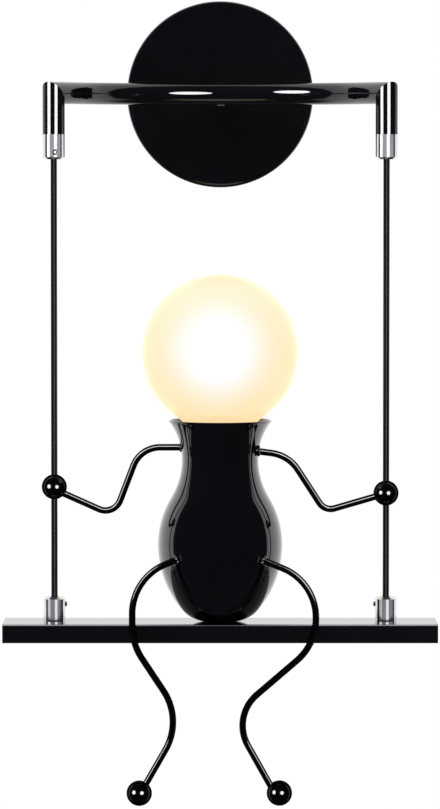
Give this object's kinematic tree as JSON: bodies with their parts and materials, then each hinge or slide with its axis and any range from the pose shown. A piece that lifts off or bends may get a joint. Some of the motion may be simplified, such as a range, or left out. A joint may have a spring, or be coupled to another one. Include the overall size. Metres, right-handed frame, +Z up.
{
  "type": "wall lamp",
  "caption": "Wall lamp shaped as a small figure with a globe bulb for a head, sitting on a swing that hangs by cords from a bent tube.",
  "frame": {"origin": "centre of the wall face, in the middle of the canopy's and wall bracket's back", "axes": "+Y into the wall, +Z up, +X to the right seen from the room"},
  "size_m": [0.265, 0.1704, 0.4914],
  "materials": {
    "gloss_black": "gloss",
    "chrome": "polished",
    "zinc_steel": "zinc plated",
    "cord_black": "smooth",
    "brass": "satin",
    "wire_sleeve": "smooth",
    "block_white": "satin",
    "holder_black": "smooth",
    "holder_ceramic": "glazed",
    "opal_glass": "opal, lit",
    "cap_aluminium": "satin",
    "cap_insulator": "smooth",
    "post_white": "satin",
    "light_board": "satin"
  },
  "bodies": {
    "wall_part": {"bow_boss": "gloss_black", "bow_tube": "gloss_black", "canopy": "gloss_black", "drop_sleeve_left": "gloss_black", "drop_sleeve_right": "gloss_black", "upper_grip_left": "chrome", "upper_grip_right": "chrome", "canopy_screws": "zinc_steel", "upper_grip_screws": "zinc_steel", "nipple_nut": "zinc_steel", "nipple_washer": "zinc_steel", "canopy_nipple": "zinc_steel", "wall_bracket": "zinc_steel", "cord_tail_left": "cord_black", "cord_tail_right": "cord_black", "earth_screw": "brass", "terminal_screws": "brass", "bow_lead_left": "wire_sleeve", "bow_lead_right": "wire_sleeve", "terminal_block": "block_white"},
    "swing": {"cord_left": "cord_black", "cord_right": "cord_black", "lower_grip_left": "chrome", "lower_grip_right": "chrome", "lower_grip_screws": "zinc_steel", "grip_nuts": "zinc_steel", "seat_bar": "gloss_black", "seat_end_left": "gloss_black", "seat_end_right": "gloss_black", "body_bowl": "gloss_black", "body_neck": "gloss_black", "body_nipple": "zinc_steel", "seat_washer": "zinc_steel", "seat_nut": "zinc_steel", "body_nut": "zinc_steel", "holder_housing": "holder_black", "holder_insert": "holder_ceramic", "holder_sleeve": "brass", "holder_contact": "brass", "arm_left": "gloss_black", "arm_right": "gloss_black", "hand_ball_left": "gloss_black", "hand_ball_right": "gloss_black", "leg_left": "gloss_black", "leg_right": "gloss_black", "foot_ball_left": "gloss_black", "foot_ball_right": "gloss_black", "seat_lead_left": "wire_sleeve", "seat_lead_right": "wire_sleeve"},
    "bulb_core": {"light_post": "post_white", "light_board": "light_board"},
    "bulb": {"globe": "opal_glass", "bulb_cap": "cap_aluminium", "cap_insulator": "cap_insulator", "tip_contact": "brass"}
  },
  "joints": [
    {"name": "swing_hinge", "type": "hinge", "parent": "wall_part", "child": "swing", "pos_m": [0, -0.12296, -0.03899], "axis": [1, 0, 0], "range_deg": [-30, 18]},
    {"name": "bulb_rise", "type": "slide", "parent": "swing", "child": "bulb_core", "axis": [0, 0, 1], "range_m": [0, 0.01825]},
    {"name": "bulb_turn", "type": "hinge", "parent": "bulb_core", "child": "bulb", "pos_m": [0, -0.12296, -0.2485], "axis": [0, 0, 1], "range_deg": [0, 1800]}
  ],
  "couplings": [
    {"joint": "bulb_rise", "follows": "bulb_turn", "m_per_rad": 0.00057757}
  ]
}
